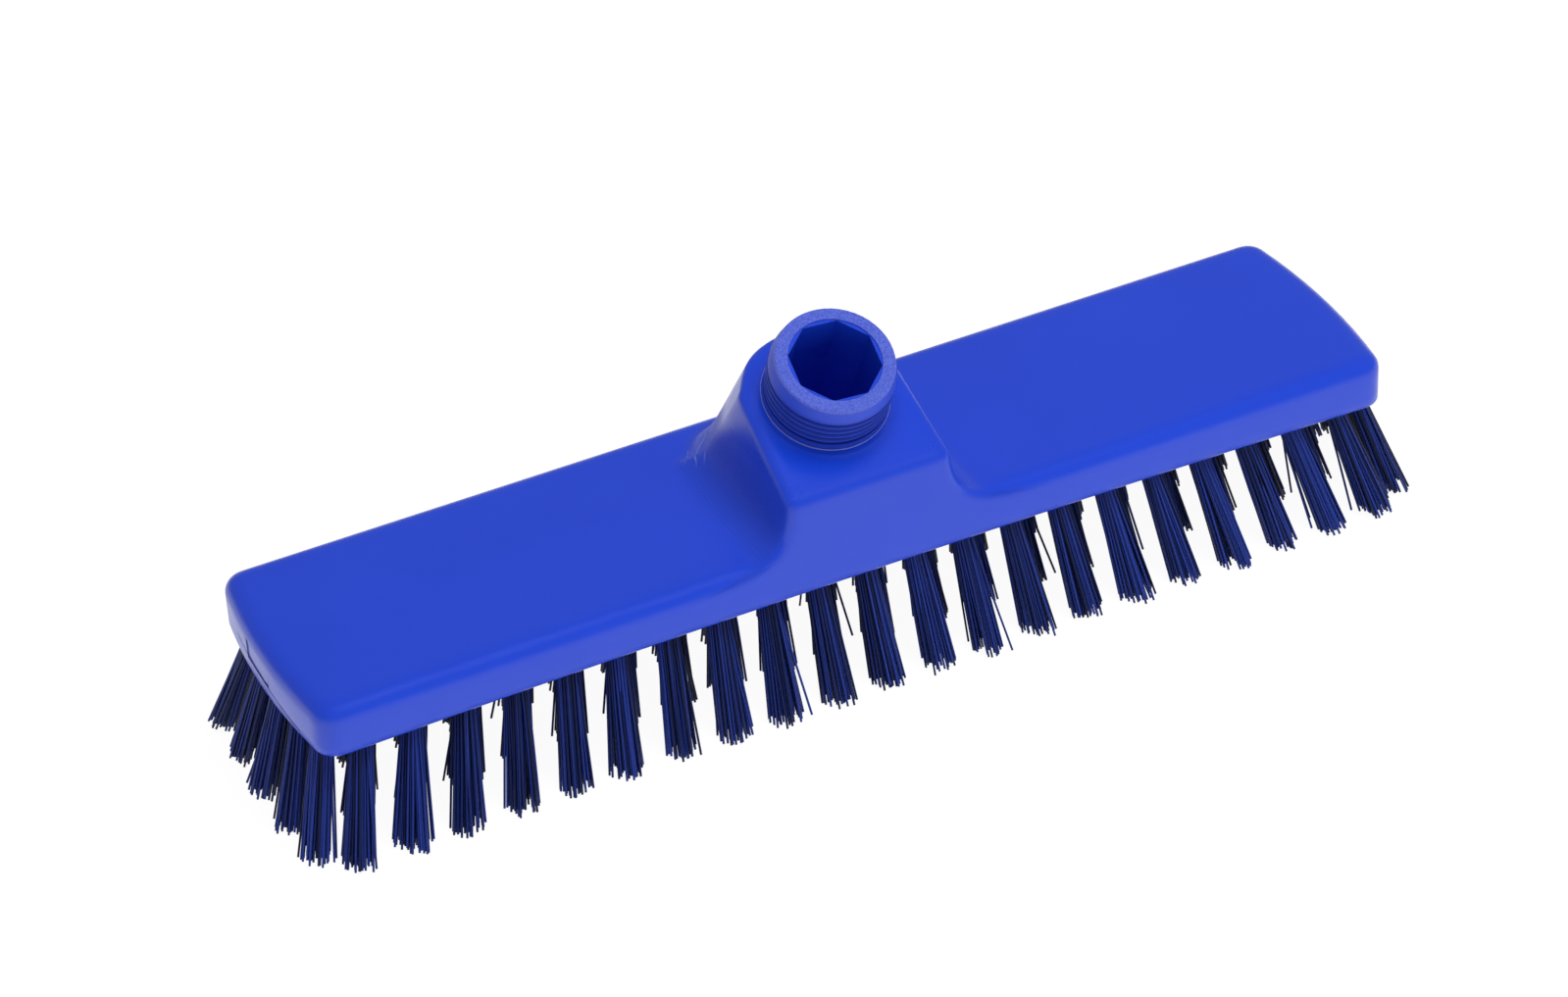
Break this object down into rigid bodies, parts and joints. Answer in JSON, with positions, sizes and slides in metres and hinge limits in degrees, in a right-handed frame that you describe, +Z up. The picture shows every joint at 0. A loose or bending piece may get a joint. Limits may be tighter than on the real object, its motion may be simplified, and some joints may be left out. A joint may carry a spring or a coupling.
{
  "type": "scrub brush head",
  "caption": "Long deck scrubber head: a moulded plastic block with a tilted octagonal handle socket and threaded neck, and a fanned field of stiff trimmed tufts.",
  "frame": {"origin": "middle of the plane in which the bristles are trimmed, so the part stands on z = 0", "axes": "+X along the block, -Y to the side that the handle leans over, +Z up from the bristle tips to the neck"},
  "size_m": [0.3154, 0.085, 0.0915],
  "materials": {
    "block": "smooth moulded blue",
    "bristles": "dark blue extruded filament, trimmed",
    "anchors": "flat stainless wire"
  },
  "bodies": {
    "root": {"anchors_end_left": "anchors", "anchors_end_right": "anchors", "anchors_row_1": "anchors", "anchors_row_2": "anchors", "anchors_row_3": "anchors", "anchors_row_4": "anchors", "anchors_row_5": "anchors", "bristle_column_01": "bristles", "bristle_column_02": "bristles", "bristle_column_03": "bristles", "bristle_column_04": "bristles", "bristle_column_05": "bristles", "bristle_column_06": "bristles", "bristle_column_07": "bristles", "bristle_column_08": "bristles", "bristle_column_09": "bristles", "bristle_column_10": "bristles", "bristle_column_11": "bristles", "bristle_column_12": "bristles", "bristle_column_13": "bristles", "bristle_column_14": "bristles", "bristle_column_15": "bristles", "bristle_column_16": "bristles", "bristle_column_17": "bristles", "bristle_column_18": "bristles", "bristle_column_19": "bristles", "bristle_column_20": "bristles", "bristle_column_21": "bristles", "bristle_column_22": "bristles", "bristle_column_23": "bristles", "bristle_column_24": "bristles", "bristle_column_25": "bristles", "bristle_column_26": "bristles", "bristle_column_27": "bristles", "bristle_column_28": "bristles", "bristle_column_29": "bristles", "bristle_column_30": "bristles", "bristle_column_31": "bristles", "bristle_column_32": "bristles", "bristle_column_33": "bristles", "bristle_column_34": "bristles", "bristle_column_35": "bristles", "bristle_column_36": "bristles", "bristle_column_37": "bristles", "bristle_column_38": "bristles", "bristle_column_39": "bristles", "bristle_column_40": "bristles", "bristle_column_41": "bristles", "bristle_end_left": "bristles", "bristle_end_right": "bristles", "brush_block": "block"}
  },
  "joints": []
}
